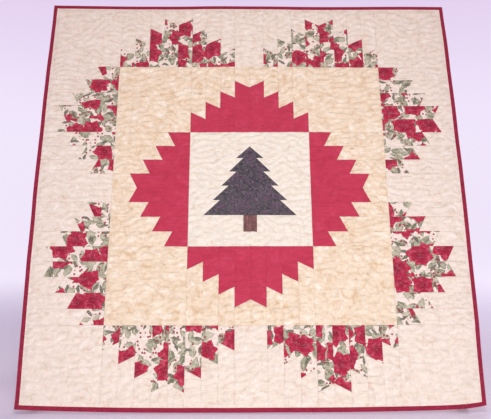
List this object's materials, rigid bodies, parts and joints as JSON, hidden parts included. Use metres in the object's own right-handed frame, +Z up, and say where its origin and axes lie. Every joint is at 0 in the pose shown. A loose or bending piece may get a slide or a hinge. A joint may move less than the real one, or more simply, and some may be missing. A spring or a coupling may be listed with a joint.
{
  "type": "quilt on a rack",
  "caption": "Square pieced wall quilt with a fir tree block, red saw-edged panels and floral fans, hung by a sleeve and rod on a folding wooden A-frame rack.",
  "frame": {"origin": "on the floor, under the middle of the object's box", "axes": "+X to the right as the quilt is looked at, -Y towards the viewer, +Z up"},
  "size_m": [1.0668, 0.5592, 1.0134],
  "materials": {
    "tree_cotton": "marbled charcoal print",
    "trunk_cotton": "mottled brown print",
    "cream_cotton": "mottled cream print",
    "red_cotton": "mottled red print",
    "tan_cotton": "mottled tan print",
    "floral_cotton": "red flowers and green leaves on cream",
    "binding_cotton": "plain crimson",
    "batting": "bonded cotton wadding",
    "backing_cotton": "plain muslin",
    "sleeve_cotton": "plain muslin",
    "frame_wood": "satin",
    "rod_wood": "satin",
    "screw_brass": "satin",
    "bolt_steel": "satin",
    "foot_rubber": "matte"
  },
  "bodies": {
    "front_frame": {"front_stile_left": "frame_wood", "front_stile_right": "frame_wood", "top_rail": "frame_wood", "middle_rail": "frame_wood", "bottom_rail": "frame_wood", "front_rail_screws": "screw_brass", "front_feet": "foot_rubber", "pivot_bolts": "bolt_steel", "pivot_washers": "bolt_steel", "pivot_nuts": "bolt_steel"},
    "rear_frame": {"rear_leg_left": "frame_wood", "rear_leg_right": "frame_wood", "rear_upper_rail": "frame_wood", "rear_lower_rail": "frame_wood", "rear_rail_screws": "screw_brass", "rear_feet": "foot_rubber"},
    "hanging_rod": {"hanging_rod": "rod_wood"},
    "quilt": {"tree": "tree_cotton", "trunk": "trunk_cotton", "centre_ground": "cream_cotton", "red_strips_top": "red_cotton", "field_strips_top": "tan_cotton", "floral_fan_first_top": "floral_cotton", "floral_fan_second_top": "floral_cotton", "border_strips_top": "cream_cotton", "binding_top": "binding_cotton", "red_strips_right": "red_cotton", "field_strips_right": "tan_cotton", "floral_fan_first_right": "floral_cotton", "floral_fan_second_right": "floral_cotton", "border_strips_right": "cream_cotton", "binding_right": "binding_cotton", "red_strips_bottom": "red_cotton", "field_strips_bottom": "tan_cotton", "floral_fan_first_bottom": "floral_cotton", "floral_fan_second_bottom": "floral_cotton", "border_strips_bottom": "cream_cotton", "binding_bottom": "binding_cotton", "red_strips_left": "red_cotton", "field_strips_left": "tan_cotton", "floral_fan_first_left": "floral_cotton", "floral_fan_second_left": "floral_cotton", "border_strips_left": "cream_cotton", "binding_left": "binding_cotton", "field_corner_upper_right": "tan_cotton", "border_corner_upper_right": "cream_cotton", "field_corner_lower_right": "tan_cotton", "border_corner_lower_right": "cream_cotton", "field_corner_lower_left": "tan_cotton", "border_corner_lower_left": "cream_cotton", "field_corner_upper_left": "tan_cotton", "border_corner_upper_left": "cream_cotton", "batting": "batting", "backing": "backing_cotton", "hanging_sleeve": "sleeve_cotton"}
  },
  "joints": [
    {"name": "rear_leg_fold", "type": "hinge", "parent": "front_frame", "child": "rear_frame", "pos_m": [0, 0.06862, 0.86434], "axis": [-1, 0, 0], "range_deg": [0, 33]},
    {"name": "rod_lift", "type": "slide", "parent": "front_frame", "child": "hanging_rod", "axis": [0, 0.342, 0.9397], "range_m": [0, 0.15]},
    {"name": "quilt_swing", "type": "hinge", "parent": "hanging_rod", "child": "quilt", "pos_m": [0, 0.09795, 0.97476], "axis": [-1, 0, 0], "range_deg": [0, 60]}
  ]
}
